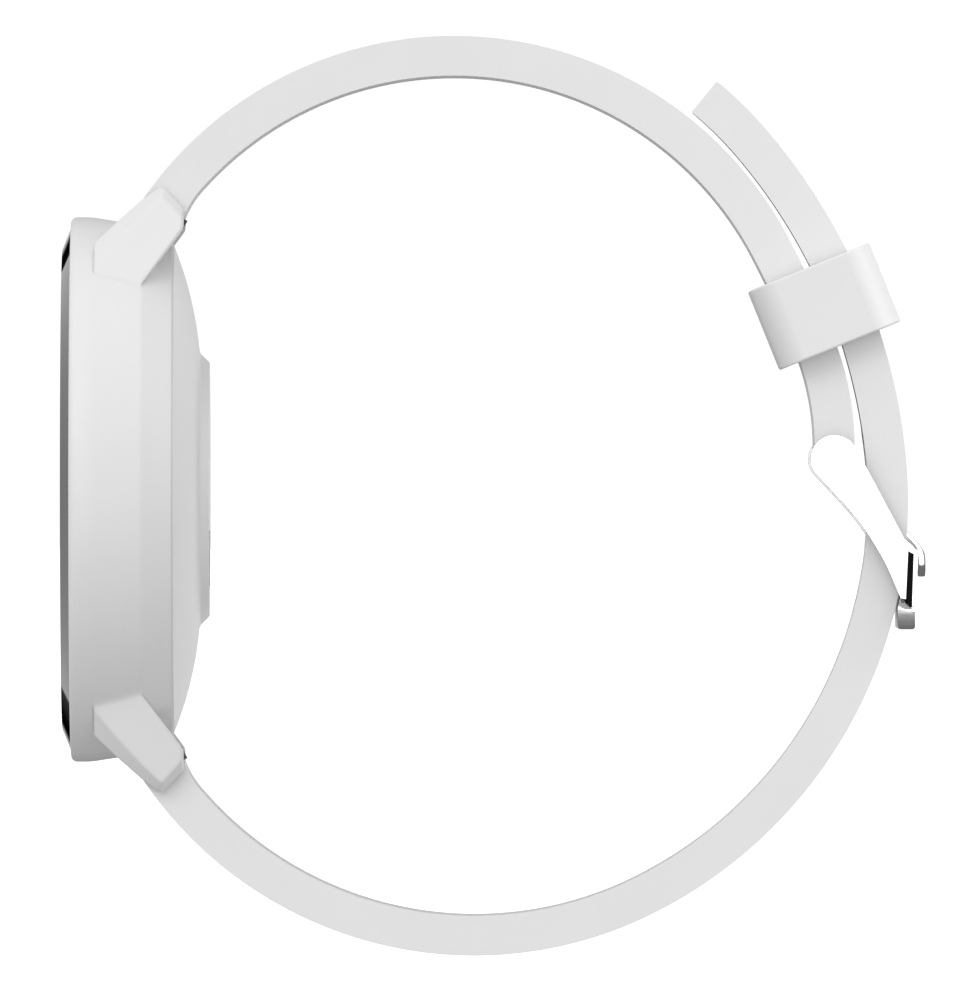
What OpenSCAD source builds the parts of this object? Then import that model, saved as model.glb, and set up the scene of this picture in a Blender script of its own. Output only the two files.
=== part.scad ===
// Golf GPS watch: a round polymer case on a two-piece silicone strap, buckled into a loop.
//
// Frame: the origin is the centre of the flat boss on the case back. +X points out of the
// case back towards the wrist, +Z points to 12 o'clock and +Y to the side with the buttons.

/* [Case] */
// Radius of the case at its widest
case_r = 21.9; // [21.7:0.1:22.4]
// Distance from the flat boss on the back to the face of the cover lens
watch_depth = 11.85; // [11.6:0.05:12.2]
// Radius of the lens's flat face, inside its bevel
lens_face_r = 19.3; // [18:0.1:19.5]
// Height of the lens bevel that stands proud of the case
lens_bevel = 0.7; // [0.4:0.05:0.8]
// Radius of the cavity that holds the works
cavity_r = 18.3; // [18.2:0.05:18.4]
// Radius of the back cover
back_r = 19.6; // [19.4:0.1:19.6]
// Radius of the flat boss on the case back
boss_r = 10.2; // [9:0.1:10.4]

/* [Lugs and strap bars] */
// Distance from the case axis to each strap bar
bar_z = 22.2; // [22.1:0.1:22.5]
// Depth of each strap bar behind the boss plane
bar_depth = 4.1; // [4:0.1:4.3]
// Gap between a pair of lugs
lug_gap = 20.5; // [20.4:0.1:21]
// Width of one lug at its root
lug_w = 3.5; // [3.4:0.1:4]
// Angle at which a lug's outer face leans in towards its tip
lug_lean = 13; // [8:1:14]

/* [Strap] */
// Width of both strap halves
strap_w = 20; // [18:0.5:20]
// Thickness of both strap halves
strap_t = 3.3; // [3:0.1:3.3]
// Number of adjusting slots in the hole half
slot_count = 8; // [5:1:8]
// Distance between two adjusting slots
slot_pitch = 7.5; // [7:0.1:7.5]

/* [Buckle] */
// Thickness of each side arm of the buckle
arm_w = 1.6; // [1.2:0.1:2]
// Thickness of the tongue
tongue_t = 0.7; // [0.6:0.05:0.8]
// Width of the tongue
tongue_w = 2.2; // [1.8:0.1:2.3]

/* [Buttons] */
// Radius of a button's cap
cap_r = 2; // [1.8:0.05:2]
// Angle of each button above and below the 9 o'clock direction
button_angle = 28; // [26:1:30]
// Travel of a button
button_travel = 0.7; // [0.5:0.05:0.7]

/* [Hidden] */
$fn = 96;

white = [0.93, 0.93, 0.92];
silicone = [0.87, 0.87, 0.87];
black = [0.06, 0.06, 0.07];
steel = [0.78, 0.78, 0.8];
gold = [0.85, 0.68, 0.32];

// Stations along X, from the lens face at the front to the boss plane at 0.
lens_x = -watch_depth;
front_x = lens_x + lens_bevel;
lens_back_x = front_x + 1;
ledge_x = lens_back_x + 0.2;
edge_x = -5.37;
seat_x = -4.2;
rear_x = -2.87;
boss_x = -0.7;

// Case walls.
lens_r = lens_face_r + 1.75;
rebate_r = lens_r + 0.1;
front_round = 0.5;
seat_r = back_r + 0.05;
gasket_r = 18.6;
gasket_w = 0.6;
gasket_t = 0.5;
glue_r = 18.7;

// The back cover's dome: the circle that its edge follows, and its wall.
dome_offset = 8.5;
dome_r = 29.5;
dome_x = -30.19;
dome_wall = 0.9;
dome_inner_r = 17.4;

// Screws that hold the back cover, on the diagonals, each under a plug flush with the dome.
screw_ring_r = 16.9;
screw_post_r = 1.5;
screw_r = 0.6;
screw_head_r = 1.1;
screw_head_t = 0.65;
screw_head_x = -2.6;
screw_post_x = -2.55;
plug_gap = 0.02;
screw_angles = [45, 135, 225, 315];

// Charging contacts: a row of pins in a block let into the boss, towards 6 o'clock.
contact_z = -5.5;
contact_size = [11, 4.4];
pin_pitch = 2.6;
charge_pin_r = 0.8;

// The stack of works, as [front, back] along X.
panel_x = [lens_back_x, -8.95];
backplate_x = [-8.95, -8.75];
board_x = [-8.5, -7.9];
can_x = [-7.9, -6.6];
chip_x = [-7.9, -7.1];
shelf_x = [-6.3, -5.9];
pad_x = [-5.9, -5.8];
battery_x = [-5.8, -2.95];
frame_x = [-8, -4.6];
frame_r = [17, 18.2];
board_r = 16.6;

// Strap bars: a tube with a fixed tip at +Y and a spring-loaded pin at -Y.
tube_r = 0.9;
tube_bore = 0.65;
tip_r = 0.5;
tip_hole_r = 0.55;
tip_reach = 1.1;
tip_hole = 1.25;
tube_len = strap_w - 0.6;
pin_r = 0.6;
knob_y = -6.5;
knob_r = 0.55;
knob_reach = 2.4;
knob_angle = 28;
release_travel = 1.5;
bar_x = -bar_depth;

// Strap halves: the mid-line of each leaves its bar at a heading above +X, and is a chain of
// arcs, [radius, sweep], that all bend clockwise. The hole half is built as its mirror image.
// The root around the bar is set off towards the wrist, so it is flush with the outside.
root_r = 1.9;
root_shift = 0.25;
upper_heading = 55.8;
upper_arcs = [[28.7, 118.4], [80, 6.1], [22.5, 23.6]];
lower_heading = 56.3;
lower_arcs = [[30.5, 82.7], [35.3, 68.6], [45.5, 35.9], [30.6, 9.6]];
arc_step = 2;
slot_used = 82.6;
slot_len = 5.6;
slot_w = 2.8;
slots_before = 4;

// Keeper: where its centre lies, the angle at which it crosses the strap, and its walls.
keeper_at = [49.4, 14.7];
keeper_tilt = 22;
keeper_len = 6.8;
keeper_in = 8.15;
keeper_wall = 1.1;
keeper_side = 2.3;
keeper_gap = 0.3;
keeper_round = 2.2;

// Buckle: its bar is where the buckle half's chain of arcs ends.
bar_at = [50.14, 2.44];
bar_r = 0.75;
bar_fit = 0.05;
eye_r = 1.65;
arm_in = strap_w / 2 + 0.4;
arm_out = arm_in + arm_w;
arm_eye_r = 1.95;
tongue_eye_r = 1.4;
tongue_drop = 46;
tongue_run = 9.4;
tongue_bend_r = 2;
tongue_tip = 1.3;
notch_w = 3;

// Buttons: stations along the button's own axis, outwards from the case axis.
button_x = -6.6;
well_r = cap_r + 0.1;
well_floor = 20.2;
cap_base = well_floor + button_travel + 0.1;
cap_top = 22.8;
stem_r = 1.25;
stem_bore = 1.3;
stem_in = 17.35;
neck_r = 0.8;
clip_at = [17.7, 18];
seal_at = 19.2;
seal_r = 0.24;

// ---------------------------------------------------------------------------
// Shared shapes

// A disc, a ring or a post along X, from x[0] to x[1].
module disc(x, r) translate([x[0], 0, 0]) rotate([0, 90, 0]) cylinder(h = x[1] - x[0], r = r);

module ring(x, r) {
    difference() {
        disc(x, r[1]);
        disc([x[0] - 1, x[1] + 1], r[0]);
    }
}

// A box from its [from, to] along each axis.
module block(x, y, z) {
    translate([x[0], y[0], z[0]]) cube([x[1] - x[0], y[1] - y[0], z[1] - z[0]]);
}

// A round rod along Y, from y[0] to y[1].
module rod(y, r) translate([0, y[0], 0]) rotate([-90, 0, 0]) cylinder(h = y[1] - y[0], r = r);

// Turns a profile of [radius, x] about the X axis.
module turn_about_x() rotate([0, 90, 0]) rotate_extrude() children();

// Extrudes an outline in X and Z along Y, from y[0] to y[1].
module side_plate(y) translate([0, y[1], 0]) rotate([90, 0, 0]) linear_extrude(y[1] - y[0]) children();

// A rectangle centred on the origin with round corners of radius r.
module round_rect(w, h, r) {
    square([w - 2 * r, h], center = true);
    square([w, h - 2 * r], center = true);
    for (sx = [-1, 1], sy = [-1, 1])
        translate([sx * (w / 2 - r), sy * (h / 2 - r)]) circle(r, $fn = 32);
}

// A pose on a strap's mid-line is [x, z, heading]. Moves it along an arc by an angle.
function moved(p, radius, a) = [
    p[0] + radius * (sin(p[2]) - sin(p[2] - a)),
    p[1] + radius * (cos(p[2] - a) - cos(p[2])),
    p[2] - a
];

// The poses every few degrees along a chain of arcs.
function poses(p, arcs, i = 0) =
    i == len(arcs) ? [p] : let (n = ceil(arcs[i][1] / arc_step)) concat(
        [for (k = [0:n - 1]) moved(p, arcs[i][0], arcs[i][1] * k / n)],
        poses(moved(p, arcs[i][0], arcs[i][1]), arcs, i + 1)
    );

// The pose at length s along a chain of arcs.
function pose_at(p, arcs, s, i = 0) =
    let (radius = arcs[i][0], a = s / radius * 180 / PI)
        a <= arcs[i][1] || i == len(arcs) - 1
            ? moved(p, radius, a)
            : pose_at(moved(p, radius, arcs[i][1]), arcs, s - arcs[i][1] * radius * PI / 180, i + 1);

// The point beside a pose, by a distance towards the outside of the loop.
function beside(p, d) = [p[0] - d * sin(p[2]), p[1] + d * cos(p[2])];

// Where a strap half's mid-line starts.
function root(heading) = [bar_x, bar_z, heading];

// One strap half: its outline from the side, extruded across the strap.
module band(heading, arcs) {
    line = poses(root(heading), arcs);
    side_plate([-strap_w / 2, strap_w / 2]) polygon(concat(
        [for (p = line) beside(p, strap_t / 2)],
        [for (i = [len(line) - 1:-1:0]) beside(line[i], -strap_t / 2)]
    ));
}

// A coil spring along Z: one closed tube around a helix.
module coil(r, wire, h, turns) {
    per_turn = 12;
    sides = 5;
    rings = turns * per_turn;
    points = [
        for (i = [0:rings], k = [0:sides - 1])
            let (a = i * 360 / per_turn, b = k * 360 / sides, q = r + wire * cos(b))
                [q * cos(a), q * sin(a), wire + (h - 2 * wire) * i / rings + wire * sin(b)]
    ];
    walls = [
        for (i = [0:rings - 1], k = [0:sides - 1])
            let (n = (k + 1) % sides)
                each [
                    [i * sides + k, (i + 1) * sides + k, (i + 1) * sides + n],
                    [i * sides + k, (i + 1) * sides + n, i * sides + n]
                ]
    ];
    start = [for (k = [0:sides - 1]) k];
    end = [for (k = [sides - 1:-1:0]) rings * sides + k];
    polyhedron(points, concat([start], walls, [end]));
}

// Places children on the upper (side = 1) or lower (side = -1) strap bar.
module at_bar(side) translate([bar_x, 0, side * bar_z]) children();

// Places children on a button's own axis, which then points outwards along Z.
module at_button(side) {
    rotate([side * button_angle, 0, 0]) translate([button_x, 0, 0]) rotate([-90, 0, 0]) children();
}

// Places children at each screw of the back cover.
module at_screws() {
    for (a = screw_angles) rotate([a, 0, 0]) translate([0, screw_ring_r, 0]) children();
}

// ---------------------------------------------------------------------------
// Case, back and lens

module lug_outline() {
    polygon([
        [-9.2, 15.8], [-9.2, 19.7], [-7.3, 21.5], [-5.2, 23.4], [-3.8, 24.4], [-2, 22.5],
        [-2, 20.8], [-5.33, 16.4], [-5.33, 15.8]
    ]);
}

// What comes off a lug: the lean of its outer face, and bevels along its long edge and its end.
module lug_trim() {
    translate([0, lug_gap / 2 + lug_w, 15.8]) rotate([lug_lean, 0, 0]) {
        block([-12, 0], [0, 5], [-1, 15]);
        translate([-9.2, 0, 4]) rotate([0, -41, 0]) lug_bevel(1.3);
        translate([-3.8, 0, 8.8]) rotate([0, 47, 0]) lug_bevel(0.8);
    }
}

// The corner that a bevel of this width takes off an edge along X.
module lug_bevel(width) translate([0, 0, -width]) rotate([45, 0, 0]) block([-4, 12], [0, 5], [-5, 5]);

module lug_pair(side) {
    mirror([0, 0, side > 0 ? 0 : 1]) for (s = [0, 1]) mirror([0, s, 0]) difference() {
        side_plate([lug_gap / 2, lug_gap / 2 + lug_w]) lug_outline();
        lug_trim();
    }
}

module case_profile() {
    difference() {
        union() {
            polygon([
                [0, front_x], [case_r - front_round, front_x], [case_r, front_x + front_round],
                [case_r, -9.5], [case_r - 0.35, -7.3], [case_r - 0.7, edge_x], [seat_r + 0.1, rear_x],
                [0, rear_x]
            ]);
            translate([case_r - front_round, front_x + front_round]) circle(front_round);
        }
        translate([0, front_x - 1]) square([rebate_r, ledge_x - front_x + 1]);
        translate([0, front_x]) square([cavity_r, watch_depth]);
        translate([0, seat_x]) square([seat_r, 5]);
        translate([gasket_r, seat_x - gasket_t]) square([gasket_w, 1]);
    }
}

module main_case() color(white) {
    difference() {
        union() {
            turn_about_x() case_profile();
            lug_pair(1);
            lug_pair(-1);
            intersection() {
                at_screws() disc([-8.1, seat_x], screw_post_r + 0.3);
                disc([-8.1, seat_x], cavity_r + 0.1);
            }
        }
        at_screws() disc([-7.4, seat_x + 1], screw_r - 0.05);
        for (side = [-1, 1]) {
            at_bar(side) rod([-lug_gap / 2, lug_gap / 2], root_r + root_shift + 0.1);
            at_bar(side) rod([-lug_gap / 2 - tip_hole, lug_gap / 2 + tip_hole], tip_hole_r);
            at_button(side) translate([0, 0, well_floor]) cylinder(h = 4, r = well_r);
            at_button(side) translate([0, 0, 16]) cylinder(h = 6, r = stem_bore);
        }
    }
}

module dome_profile(wall, roof_x, r) {
    intersection() {
        translate([dome_offset, dome_x]) circle(dome_r - wall, $fn = 200);
        translate([dome_offset, seat_x]) square([r - dome_offset, 5]);
    }
    translate([0, seat_x]) square([dome_offset, roof_x - seat_x]);
}

module back_cover() color(white) {
    difference() {
        union() {
            turn_about_x() back_profile();
            at_screws() disc([seat_x, screw_post_x], screw_post_r + 0.3);
        }
        disc([seat_x - 1, -1.5], dome_offset);
        contact_box([-2, 0.5]);
        at_screws() {
            disc([-5, 0], screw_r + 0.05);
            disc([screw_head_x - screw_head_t, 0], screw_head_r + 0.05);
        }
    }
}

module back_profile() {
    difference() {
        dome_profile(0, dome_x + dome_r, back_r);
        translate([0, -0.01]) dome_profile(dome_wall, dome_x + dome_r - dome_wall, dome_inner_r);
    }
    polygon([[0, -1.5], [boss_r + 0.7, -1.5], [boss_r + 0.7, boss_x], [boss_r, 0], [0, 0]]);
}

// The outline of the contact block, from x[0] to x[1].
module contact_box(x) {
    half = contact_size / 2;
    block(x, half[0] * [-1, 1], contact_z * [1, 1] + half[1] * [-1, 1]);
}

module back_gasket() color(black) {
    ring([seat_x - gasket_t, seat_x], [gasket_r, gasket_r + gasket_w]);
}

module back_screws() color(steel) {
    at_screws() difference() {
        union() {
            disc([-6.9, screw_head_x], screw_r - 0.05);
            disc([screw_head_x - screw_head_t, screw_head_x], screw_head_r);
        }
        translate([screw_head_x - 0.35, 0, 0]) rotate([0, 90, 0]) cylinder(h = 1, r = 0.5, $fn = 6);
    }
}

module screw_plugs() color(white) {
    intersection() {
        at_screws() disc([screw_head_x, 0], screw_head_r + 0.05 - plug_gap);
        turn_about_x() dome_profile(0, dome_x + dome_r, back_r);
    }
}

module contact_block() color(black) {
    difference() {
        contact_box([-1.9, -0.3]);
        at_pins() disc([-3, 1], charge_pin_r);
    }
}

// Places children at each of the four charge pins.
module at_pins() for (i = [-1.5:1.5]) translate([0, i * pin_pitch, contact_z]) children();

module charge_pins() color(gold) at_pins() disc([-2.1, -0.25], charge_pin_r);

module charge_flex() color([0.75, 0.5, 0.15]) {
    block([-2.25, -2.1], [-4.9, 4.9], [-8, contact_z + 1.2]);
    block([-2.25, -2.1], [-1.5, 1.5], [-13.1, -8]);
    block([board_x[1], -2.1], [-1.5, 1.5], [-13.2, -13.05]);
}

module cover_lens() color(black) {
    turn_about_x() polygon([
        [0, lens_x], [lens_face_r, lens_x], [lens_r, front_x], [lens_r, lens_back_x],
        [0, lens_back_x]
    ]);
}

module lens_gasket() color([0.2, 0.2, 0.2]) ring([lens_back_x, ledge_x], [glue_r, rebate_r - 0.3]);

// ---------------------------------------------------------------------------
// Works

module display_panel() color([0.1, 0.3, 0.16]) disc(panel_x, cavity_r - 0.1);

module display_backplate() color(steel) disc(backplate_x, cavity_r - 0.3);

module display_flex() color([0.75, 0.5, 0.15]) {
    block([-8.75, -8.65], [-2, 2], [-16.85, -12]);
    block([-8.75, -7.75], [-2, 2], [-16.95, -16.85]);
    block([-7.9, -7.75], [-2, 2], [-16.9, -16]);
}

module post_notches(x, gap) at_screws() disc(x, screw_post_r + 0.3 + gap);

module inner_frame() color([0.25, 0.26, 0.28]) {
    difference() {
        union() {
            ring(frame_x, frame_r);
            disc(shelf_x, frame_r[0] + 0.5);
        }
        post_notches([-9, -3], 0.15);
        for (side = [-1, 1]) {
            at_button(side) translate([0, 0, 13.5]) cylinder(h = 6, r = 2.3);
            at_button(side) translate([-2.3, -2.3, 13.5]) cube([4.6, 4.6, 3]);
        }
        block([-7, -5], [-7, 7], [-3, 5]);
        block([-7, -5], [-5, 5], [-17.5, -12.9]);
        block([-9, -4], [-2.3, 2.3], [-17.3, -16]);
        block([-9, -4], [11.8, 12.4], [-5.2, -2.8]);
        at_frame_screws() disc([-8.6, -4], 0.45);
    }
}

// Places children at each of the three screws that hold the board to the frame.
module at_frame_screws() for (a = [90, 200, 340]) rotate([a - 90, 0, 0]) translate([0, 0, 14.2]) children();

module frame_screws() color(steel) at_frame_screws() {
    disc([board_x[0] - 0.2, board_x[0]], 0.8);
    disc([board_x[0], shelf_x[1]], 0.4);
}

module main_board() color([0.05, 0.3, 0.14]) {
    difference() {
        disc(board_x, board_r);
        post_notches([-9, -7], 0.2);
        at_frame_screws() disc([-9, -7], 0.45);
    }
}

module board_chips() color([0.12, 0.12, 0.13]) {
    block(chip_x, [-4, 1], [-2, 3]);
    block(chip_x, [2, 5], [0, 3]);
    block(chip_x, [-11, -8], [-2, 2]);
}

module shield_can() color(steel) {
    difference() {
        block(can_x, [-6, 6], [-2.8, 4.8]);
        block([can_x[0] - 1, can_x[1] - 0.15], [-5.85, 5.85], [-2.65, 4.65]);
    }
}

// One side-acting switch: its body stands on the back of the board.
module side_switches() color([0.15, 0.15, 0.16]) {
    for (side = [-1, 1]) at_button(side) {
        translate([-1.3, -1.3, 13.9]) cube([2.6, 2.6, 2]);
        translate([0, 0, 15.9]) cylinder(h = 0.55, r = 0.7);
    }
}

module gnss_antenna() color([0.8, 0.72, 0.5]) {
    translate([-8.7, 0, 0]) rotate([0, 90, 0]) rotate([0, 0, 148])
        rotate_extrude(angle = 64) translate([17.1, 0]) square([1, 0.7]);
}

module battery() color([0.75, 0.76, 0.78]) {
    translate([battery_x[0], 0, -2]) rotate([0, 90, 0])
        linear_extrude(battery_x[1] - battery_x[0]) round_rect(22, 20, 1.5);
}

module battery_pad() color([0.3, 0.3, 0.3]) {
    difference() {
        block(pad_x, [-9, 9], [-12, 8]);
        block([-7, -5], [-7, 7], [-3, 5]);
    }
}

module battery_lead() color([0.8, 0.2, 0.15]) {
    block([-5.5, -5.2], [10, 12.2], [-5, -3]);
    block([-7.9, -5.2], [12, 12.2], [-5, -3]);
}

module vibration_motor() color(steel) {
    translate([0, 0, 12.7]) disc([shelf_x[1], -3.3], 3.5);
}

// ---------------------------------------------------------------------------
// Buttons

module button() color(white) {
    difference() {
        union() {
            translate([0, 0, cap_base]) cylinder(h = cap_top - cap_base - 0.3, r = cap_r);
            translate([0, 0, cap_top - 0.3]) cylinder(h = 0.3, r1 = cap_r, r2 = cap_r - 0.3);
            translate([0, 0, stem_in]) cylinder(h = cap_base - stem_in, r = stem_r);
        }
        translate([0, 0, cap_base - 0.01]) tube_cut(stem_r, cap_r - 0.25, 0.81);
        translate([0, 0, clip_at[0]]) tube_cut(neck_r, 3, clip_at[1] - clip_at[0]);
        translate([0, 0, seal_at - seal_r]) tube_cut(neck_r, 3, 2 * seal_r);
    }
}

// A tube along Z, cut away to leave a groove or a pocket.
module tube_cut(r_in, r_out, h) {
    difference() {
        cylinder(h = h, r = r_out);
        translate([0, 0, -1]) cylinder(h = h + 2, r = r_in);
    }
}

module button_spring() color(steel) {
    translate([0, 0, well_floor + 0.03]) coil(1.5, 0.1, cap_base + 0.8 - well_floor - 0.06, 3);
}

module button_seal() color(black) {
    translate([0, 0, seal_at]) rotate_extrude()
        translate([neck_r + seal_r + 0.01, 0]) circle(seal_r, $fn = 24);
}

module button_clip() color(steel) {
    translate([0, 0, clip_at[0] + 0.01]) difference() {
        tube_cut(neck_r + 0.01, 1.8, clip_at[1] - clip_at[0] - 0.02);
        translate([0, -0.6, -1]) cube([3, 1.2, 3]);
    }
}

module upper_button() at_button(1) button();
module upper_button_spring() at_button(1) button_spring();
module upper_button_seal() at_button(1) button_seal();
module upper_button_clip() at_button(1) button_clip();
module lower_button() at_button(-1) button();
module lower_button_spring() at_button(-1) button_spring();
module lower_button_seal() at_button(-1) button_seal();
module lower_button_clip() at_button(-1) button_clip();

// ---------------------------------------------------------------------------
// Strap bars with their quick-release pins

// Turns +Z to the direction in which the release knob sticks out, towards the wrist.
module at_knob(side) rotate([0, side > 0 ? 90 + knob_angle : 90 - knob_angle, 0]) children();

module bar_tube(side) color(steel) {
    at_bar(side) difference() {
        rod([-tube_len / 2, tube_len / 2], tube_r);
        rod([-tube_len / 2 - 1, tube_len / 2 - 1.2], tube_bore);
        rod([0, tube_len], tip_r);
        at_knob(side) block([-0.62, 0.62], [knob_y - 0.7, knob_y + release_travel + 0.7], [0, 3]);
    }
}

// The fixed tip, pressed into the tube's closed end.
module bar_tip(side) color(steel) at_bar(side) rod([tube_len / 2 - 1.2, lug_gap / 2 + tip_reach], tip_r);

// The sliding pin: tip, shaft inside the tube and the knob that a fingernail pulls.
module release_pin(side) color(steel) {
    at_bar(side) {
        rod([-lug_gap / 2 - tip_reach, -tube_len / 2 + 1.5], tip_r);
        rod([-tube_len / 2 + 0.5, knob_y + 1], pin_r);
        translate([0, knob_y, 0]) at_knob(side) cylinder(h = knob_reach, r = knob_r, $fn = 32);
    }
}

module release_spring(side) color(steel) {
    start = knob_y + 1.05;
    room = tube_len / 2 - 1.2 - start;
    at_bar(side) translate([0, start, 0]) rotate([-90, 0, 0]) coil(0.45, 0.1, room, 14);
}

module upper_bar_tube() bar_tube(1);
module upper_bar_tip() bar_tip(1);
module upper_release_pin() release_pin(1);
module upper_release_spring() release_spring(1);
module lower_bar_tube() bar_tube(-1);
module lower_bar_tip() bar_tip(-1);
module lower_release_pin() release_pin(-1);
module lower_release_spring() release_spring(-1);

// ---------------------------------------------------------------------------
// Strap

// The round root of a strap half around its bar.
module strap_root(heading) {
    at = beside(root(heading), -root_shift);
    translate([at[0], 0, at[1]]) rod([-strap_w / 2, strap_w / 2], root_r);
}

// What the strap bar and its release knob need out of a strap root.
module root_cut(side) {
    at_bar(side) {
        rod([-strap_w, strap_w], tube_r + 0.05);
        at_knob(side) block([-1, 1], [knob_y - 0.9, knob_y + release_travel + 0.9], [0, 4]);
    }
}

module strap_buckle_half() color(silicone) {
    difference() {
        union() {
            band(upper_heading, upper_arcs);
            strap_root(upper_heading);
            at_buckle() rod([-strap_w / 2, strap_w / 2], eye_r);
        }
        root_cut(1);
        at_buckle() rod([-strap_w, strap_w], bar_r + bar_fit);
        at_buckle() block([-2.4, 2.4], [-notch_w / 2, notch_w / 2], [-3, 2.4]);
    }
}

// Places children at a pose: X is forward along the strap and Z is the outside.
module at_pose(p) translate([p[0], 0, p[1]]) rotate([0, -p[2], 0]) children();

// The pose of adjusting slot k, counted from the case.
function slot_pose(k) =
    pose_at(root(lower_heading), lower_arcs, slot_used + (k - slots_before) * slot_pitch);

module slot() {
    for (s = [-1, 1]) translate([s * (slot_len - slot_w) / 2, 0, -5]) cylinder(h = 10, r = slot_w / 2);
    translate([-(slot_len - slot_w) / 2, -slot_w / 2, -5]) cube([slot_len - slot_w, slot_w, 10]);
}

module strap_hole_half() color(silicone) {
    difference() {
        union() {
            mirror([0, 0, 1]) {
                band(lower_heading, lower_arcs);
                strap_root(lower_heading);
            }
        }
        root_cut(-1);
        mirror([0, 0, 1])
            for (k = [0:slot_count - 1])
                at_pose(slot_pose(k)) slot();
    }
}

module strap_keeper() color(silicone) {
    wide = strap_w + 2 * keeper_gap;
    translate([keeper_at[0], 0, keeper_at[1]]) rotate([0, -keeper_tilt, 0])
        translate([0, 0, -keeper_len / 2]) linear_extrude(keeper_len) difference() {
            round_rect(keeper_in + 2 * keeper_wall, wide + 2 * keeper_side, keeper_round);
            round_rect(keeper_in, wide, 0.6);
        }
}

// ---------------------------------------------------------------------------
// Buckle

module at_buckle() translate([bar_at[0], 0, bar_at[1]]) children();

module arm_outline() {
    polygon([
        [51.88, 3.3], [55.8, -4.6], [56.1, -4.95], [56.1, -9], [55.2, -9.6], [55.2, -8.3],
        [54.1, -5.75], [52.6, -3.3], [51.4, -1.65], [49.8, 0.1], [48.7, 1.12]
    ]);
    translate([bar_at[0], bar_at[1]]) circle(arm_eye_r);
}

module end_bar_outline() {
    polygon([
        [56, -4.95], [56.3, -4.8], [56.75, -5.35], [56.75, -10.6], [56.45, -11.25],
        [55.45, -11.25], [55.2, -11], [55.2, -9.3], [56, -8.7]
    ]);
}

module buckle_frame() color(steel) {
    difference() {
        union() {
            for (s = [0, 1]) mirror([0, s, 0]) side_plate([arm_in, arm_out]) arm_outline();
            side_plate([-arm_out, arm_out]) end_bar_outline();
        }
        at_buckle() rod([-20, 20], bar_r);
    }
}

module buckle_bar() color(steel) at_buckle() rod([-arm_out + 0.2, arm_out - 0.2], bar_r);

module buckle_tongue() color(steel) {
    bend = 90 - tongue_drop;
    difference() {
        at_buckle() rotate([0, tongue_drop, 0]) {
            rod([-tongue_w / 2, tongue_w / 2], tongue_eye_r);
            block([0, tongue_run], [-tongue_w / 2, tongue_w / 2], [-tongue_t / 2, tongue_t / 2]);
            translate([tongue_run, 0, -tongue_bend_r]) rotate([90, 0, 0]) rotate([0, 0, 90 - bend])
                rotate_extrude(angle = bend + 1) translate([tongue_bend_r, 0])
                    square([tongue_t, tongue_w], center = true);
            at_pose(moved([tongue_run, 0, 0], tongue_bend_r, bend))
                block([-0.05, tongue_tip], [-tongue_w / 2, tongue_w / 2], [-tongue_t / 2, tongue_t / 2]);
        }
        at_buckle() rod([-20, 20], bar_r + bar_fit);
    }
}

main_case();
back_cover();
back_gasket();
back_screws();
screw_plugs();
contact_block();
charge_pins();
charge_flex();
cover_lens();
lens_gasket();
display_panel();
display_backplate();
display_flex();
inner_frame();
frame_screws();
main_board();
board_chips();
shield_can();
side_switches();
gnss_antenna();
battery();
battery_pad();
battery_lead();
vibration_motor();
upper_button();
upper_button_spring();
upper_button_seal();
upper_button_clip();
lower_button();
lower_button_spring();
lower_button_seal();
lower_button_clip();
upper_bar_tube();
upper_bar_tip();
upper_release_pin();
upper_release_spring();
lower_bar_tube();
lower_bar_tip();
lower_release_pin();
lower_release_spring();
strap_buckle_half();
strap_hole_half();
strap_keeper();
buckle_frame();
buckle_bar();
buckle_tongue();
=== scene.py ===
"""Golf GPS watch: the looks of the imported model, with its studio, lights and camera."""

import math

import bmesh
import bpy
from mathutils import Matrix, Vector


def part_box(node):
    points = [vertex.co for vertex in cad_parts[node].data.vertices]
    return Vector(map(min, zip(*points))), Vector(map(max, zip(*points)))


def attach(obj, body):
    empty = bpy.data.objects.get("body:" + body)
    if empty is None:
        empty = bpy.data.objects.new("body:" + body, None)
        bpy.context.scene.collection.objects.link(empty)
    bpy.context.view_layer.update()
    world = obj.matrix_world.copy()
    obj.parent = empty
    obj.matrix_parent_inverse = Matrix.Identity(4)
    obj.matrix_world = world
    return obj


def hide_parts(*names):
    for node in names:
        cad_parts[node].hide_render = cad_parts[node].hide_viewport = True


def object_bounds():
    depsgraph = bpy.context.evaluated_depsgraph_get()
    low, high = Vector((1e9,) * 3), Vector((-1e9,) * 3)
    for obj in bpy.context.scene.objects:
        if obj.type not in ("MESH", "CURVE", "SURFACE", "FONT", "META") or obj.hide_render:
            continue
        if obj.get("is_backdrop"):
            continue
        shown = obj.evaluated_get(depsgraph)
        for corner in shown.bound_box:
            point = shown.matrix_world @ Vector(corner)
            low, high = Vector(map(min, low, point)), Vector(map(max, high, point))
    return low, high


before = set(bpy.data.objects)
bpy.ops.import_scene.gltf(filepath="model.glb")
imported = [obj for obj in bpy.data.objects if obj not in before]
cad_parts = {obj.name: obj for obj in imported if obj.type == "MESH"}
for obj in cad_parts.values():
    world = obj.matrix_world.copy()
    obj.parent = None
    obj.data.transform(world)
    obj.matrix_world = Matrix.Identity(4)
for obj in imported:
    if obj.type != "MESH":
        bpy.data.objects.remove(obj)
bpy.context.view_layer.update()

# Shapes are built in millimetres and brought to metres when they are placed.
MM = 0.001

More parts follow.
